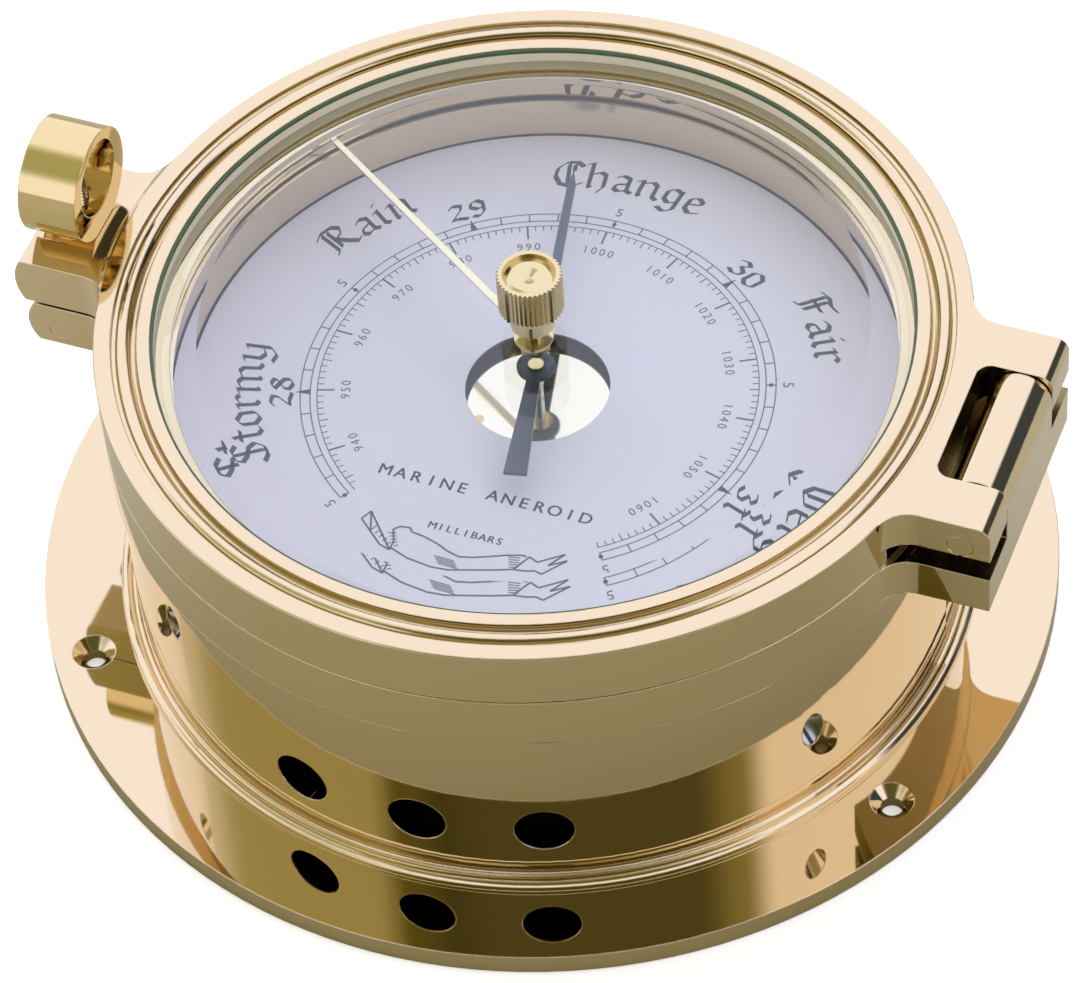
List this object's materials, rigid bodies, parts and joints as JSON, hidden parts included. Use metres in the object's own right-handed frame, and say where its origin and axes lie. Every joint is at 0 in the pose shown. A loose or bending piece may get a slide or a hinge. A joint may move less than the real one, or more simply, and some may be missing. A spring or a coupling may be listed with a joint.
{
  "type": "aneroid barometer",
  "caption": "Round brass ship's aneroid barometer: flanged drum case, hinged glazed bezel held by a swing bolt with an eye nut, dial, pointer, set hand and lever movement.",
  "frame": {"origin": "centre of the mounting flange's back face", "axes": "+Z out of the dial towards the viewer, +X to 3 o'clock on the hinge side, +Y to 12 o'clock"},
  "size_m": [0.1812, 0.18, 0.082],
  "materials": {
    "turned_brass": "turned and polished to a mirror, clear lacquer",
    "satin_brass": "machined, fine satin",
    "gilt_brass": "light gilt, smooth",
    "steel": "bright machined steel",
    "silvered_dial": "matt lavender white print on metal",
    "slate_pointer": "blued steel, satin",
    "bevelled_glass": "clear polished plate glass with bevelled edge",
    "glass_seal": "dull green packing",
    "blackened_brass": "matt black lacquer on the hidden plates"
  },
  "bodies": {
    "case": {"mounting_flange": "turned_brass", "case_drum": "turned_brass", "case_rim": "turned_brass", "flange_screws": "steel", "back_cover": "turned_brass", "back_cover_screws": "steel", "hinge_pin": "steel", "clamp_pivot_pin": "satin_brass", "locking_screws": "steel", "dial_surround": "turned_brass", "dial_plate": "silvered_dial", "dial_feet": "satin_brass", "movement_base_plate": "blackened_brass", "base_plate_screws": "steel", "movement_pillars": "blackened_brass", "movement_top_plate": "gilt_brass", "train_plate": "gilt_brass", "train_pillars": "satin_brass", "shaft_brackets": "satin_brass", "capsule": "gilt_brass", "capsule_nut": "steel", "spring_bridge": "blackened_brass", "main_spring": "steel", "spring_screws": "steel", "hairspring": "steel", "hairspring_stud": "satin_brass"},
    "bezel": {"bezel_ring": "turned_brass", "glass": "bevelled_glass", "glass_gasket": "glass_seal", "glass_retaining_ring": "turned_brass"},
    "set_hand_group": {"set_knob": "turned_brass", "friction_washer": "steel", "set_hand": "gilt_brass", "set_hand_nut": "turned_brass"},
    "swing_bolt": {"swing_bolt": "satin_brass"},
    "ring_nut": {"ring_nut": "turned_brass"},
    "hand": {"pointer_arbor": "steel", "hairspring_collet": "satin_brass", "pointer": "slate_pointer", "pointer_bush": "turned_brass"},
    "sector": {"sector_gear": "gilt_brass", "sector_arbor": "steel"},
    "rocker": {"rocking_shaft": "steel"},
    "lever": {"main_lever": "satin_brass", "capsule_post": "satin_brass", "link": "steel"},
    "adjuster": {"adjusting_screw": "satin_brass"}
  },
  "joints": [
    {"name": "bezel_hinge", "type": "hinge", "parent": "case", "child": "bezel", "pos_m": [0.0826, 0, 0.0587], "axis": [0, 1, 0], "range_deg": [0, 110]},
    {"name": "swing_bolt_pivot", "type": "hinge", "parent": "case", "child": "swing_bolt", "pos_m": [-0.0845, 0, 0.04615], "axis": [0, -1, 0], "range_deg": [0, 105]},
    {"name": "ring_nut_turn", "type": "hinge", "parent": "swing_bolt", "child": "ring_nut", "pos_m": [-0.0845, 0, 0.06235], "axis": [0, 0, 1], "continuous": true},
    {"name": "set_hand_turn", "type": "hinge", "parent": "bezel", "child": "set_hand_group", "pos_m": [0, 0, 0.058], "axis": [0, 0, 1], "continuous": true},
    {"name": "pointer_turn", "type": "hinge", "parent": "case", "child": "hand", "pos_m": [0, 0, 0.0387], "axis": [0, 0, 1], "range_deg": [-155.2, 135.2], "deforming": ["hairspring"]},
    {"name": "sector_turn", "type": "hinge", "parent": "case", "child": "sector", "pos_m": [0.01802, 0, 0.0345], "axis": [0, 0, 1], "range_deg": [-21, 24]},
    {"name": "rocking_shaft_turn", "type": "hinge", "parent": "case", "child": "rocker", "pos_m": [0.03, 0, 0.02725], "axis": [-1, 0, 0], "range_deg": [-21, 24]},
    {"name": "main_lever_rock", "type": "hinge", "parent": "case", "child": "lever", "pos_m": [-0.03, 0, 0.0246], "axis": [0, 1, 0], "range_deg": [-1.3, 1.5], "deforming": ["main_spring", "capsule"]},
    {"name": "adjusting_screw_turn", "type": "hinge", "parent": "case", "child": "adjuster", "pos_m": [-0.035, 0, 0.008], "axis": [0, 0, 1], "continuous": true}
  ],
  "couplings": [
    {"joint": "sector_turn", "follows": "pointer_turn", "ratio": -0.125},
    {"joint": "rocking_shaft_turn", "follows": "pointer_turn", "ratio": -0.125},
    {"joint": "main_lever_rock", "follows": "pointer_turn", "ratio": -0.007027}
  ]
}
